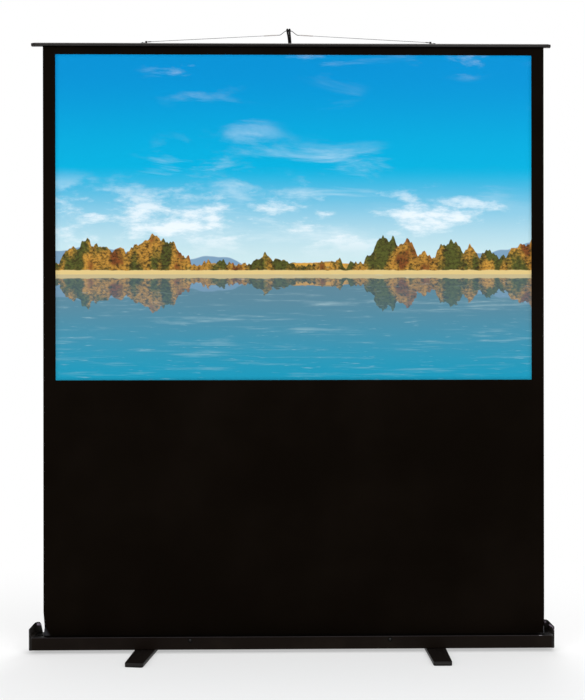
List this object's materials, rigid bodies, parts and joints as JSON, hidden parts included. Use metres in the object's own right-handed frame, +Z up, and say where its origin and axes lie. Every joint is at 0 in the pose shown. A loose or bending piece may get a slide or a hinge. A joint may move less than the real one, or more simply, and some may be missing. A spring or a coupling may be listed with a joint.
{
  "type": "pull-up projection screen",
  "caption": "Floor-standing projection screen whose fabric pulls up out of a low casing on swivel feet and hangs from a folding telescopic pole.",
  "frame": {"origin": "on the floor, under the middle of the casing's length and of the feet's length", "axes": "+Z up along the pulled-up fabric, +X to the right along the casing, the viewing side faces -Y"},
  "size_m": [1.98, 0.3992, 2.3539],
  "materials": {
    "casing_black": "black powder coat, satin",
    "cap_black": "black moulded plastic, fine grain",
    "pole_black": "black anodised or lacquered metal",
    "zinc_steel": "zinc-plated steel",
    "spring_steel": "oiled spring wire",
    "cable_steel": "stranded steel wire",
    "tube_aluminium": "mill finish",
    "slide_plastic": "natural acetal",
    "inner_plastic": "dark moulded plastic",
    "fabric_black": "black coated screen fabric, matt",
    "screen_white": "matt white viewing surface",
    "pad_rubber": "black rubber"
  },
  "bodies": {
    "casing": {"casing_shell": "casing_black", "end_cap_left": "cap_black", "end_cap_right": "cap_black", "end_cap_screws": "zinc_steel", "spring_bracket": "zinc_steel", "idle_bracket": "zinc_steel", "idle_bush": "slide_plastic", "spring_shaft": "zinc_steel", "torsion_spring": "spring_steel", "roller_saddles": "inner_plastic", "front_screws": "pole_black", "foot_plates": "zinc_steel", "foot_bolts": "zinc_steel", "foot_washers": "slide_plastic", "pole_bracket": "pole_black", "bracket_screws": "zinc_steel", "pole_hinge_bolt": "zinc_steel", "pole_hinge_nut": "zinc_steel", "pole_clip": "cap_black", "clip_screws": "zinc_steel"},
    "roller": {"roller_tube": "tube_aluminium", "idle_plug": "inner_plastic", "spring_plug": "inner_plastic", "spring_grip": "inner_plastic", "fabric_spline": "inner_plastic", "fabric_turns": "fabric_black"},
    "top_bar": {"top_rail": "casing_black", "rail_tip_left": "cap_black", "rail_tip_right": "cap_black", "hem_rod": "zinc_steel", "screen_fabric": "fabric_black", "viewing_surface": "screen_white", "anchor_left": "zinc_steel", "anchor_right": "zinc_steel", "anchor_screws": "zinc_steel", "hanger_cable_left": "cable_steel", "hanger_cable_right": "cable_steel", "cable_sleeves": "inner_plastic", "cable_ferrules": "zinc_steel", "hanger_bow": "pole_black"},
    "foot_left": {"foot_left_bar": "cap_black", "foot_left_pads": "pad_rubber"},
    "foot_right": {"foot_right_bar": "cap_black", "foot_right_pads": "pad_rubber"},
    "pole_lower": {"pole_lower_tube": "pole_black", "pole_knuckle": "cap_black", "lower_collar": "cap_black", "lower_lever_pin": "zinc_steel"},
    "pole_middle": {"pole_middle_tube": "pole_black", "middle_bush": "slide_plastic", "upper_collar": "cap_black", "upper_lever_pin": "zinc_steel"},
    "pole_top": {"pole_top_tube": "pole_black", "top_bush": "slide_plastic", "hook_plug": "cap_black", "hanger_hook": "pole_black"},
    "lower_lever": {"lower_clamp_lever": "cap_black"},
    "upper_lever": {"upper_clamp_lever": "cap_black"}
  },
  "joints": [
    {"name": "bar_slide", "type": "slide", "parent": "casing", "child": "top_bar", "axis": [0, 0, 1], "range_m": [-2.2187, 0], "deforming": ["screen_fabric", "viewing_surface"]},
    {"name": "roller_spin", "type": "hinge", "parent": "casing", "child": "roller", "pos_m": [0, -0.01385, 0.0375], "axis": [1, 0, 0], "range_deg": [-7664, 0]},
    {"name": "foot_left_swivel", "type": "hinge", "parent": "casing", "child": "foot_left", "pos_m": [-0.5465, 0, 0.01], "axis": [0, 0, 1], "range_deg": [-83, 7]},
    {"name": "foot_right_swivel", "type": "hinge", "parent": "casing", "child": "foot_right", "pos_m": [0.5375, 0, 0.01], "axis": [0, 0, -1], "range_deg": [-90, 0]},
    {"name": "pole_fold", "type": "hinge", "parent": "casing", "child": "pole_lower", "pos_m": [-0.003, 0.0585, 0.08], "axis": [0, 1, 0], "range_deg": [-90, 0]},
    {"name": "pole_middle_slide", "type": "slide", "parent": "pole_lower", "child": "pole_middle", "axis": [0, 0, 1], "range_m": [-0.665, 0]},
    {"name": "pole_top_slide", "type": "slide", "parent": "pole_middle", "child": "pole_top", "axis": [0, 0, 1], "range_m": [-0.665, 0]},
    {"name": "lower_lever_turn", "type": "hinge", "parent": "pole_lower", "child": "lower_lever", "pos_m": [-0.003, 0.0765, 0.844], "axis": [1, 0, 0], "range_deg": [0, 105]},
    {"name": "upper_lever_turn", "type": "hinge", "parent": "pole_middle", "child": "upper_lever", "pos_m": [-0.003, 0.0765, 1.562], "axis": [1, 0, 0], "range_deg": [0, 105]}
  ],
  "couplings": [
    {"joint": "roller_spin", "follows": "bar_slide", "rad_per_m": 60.28}
  ]
}
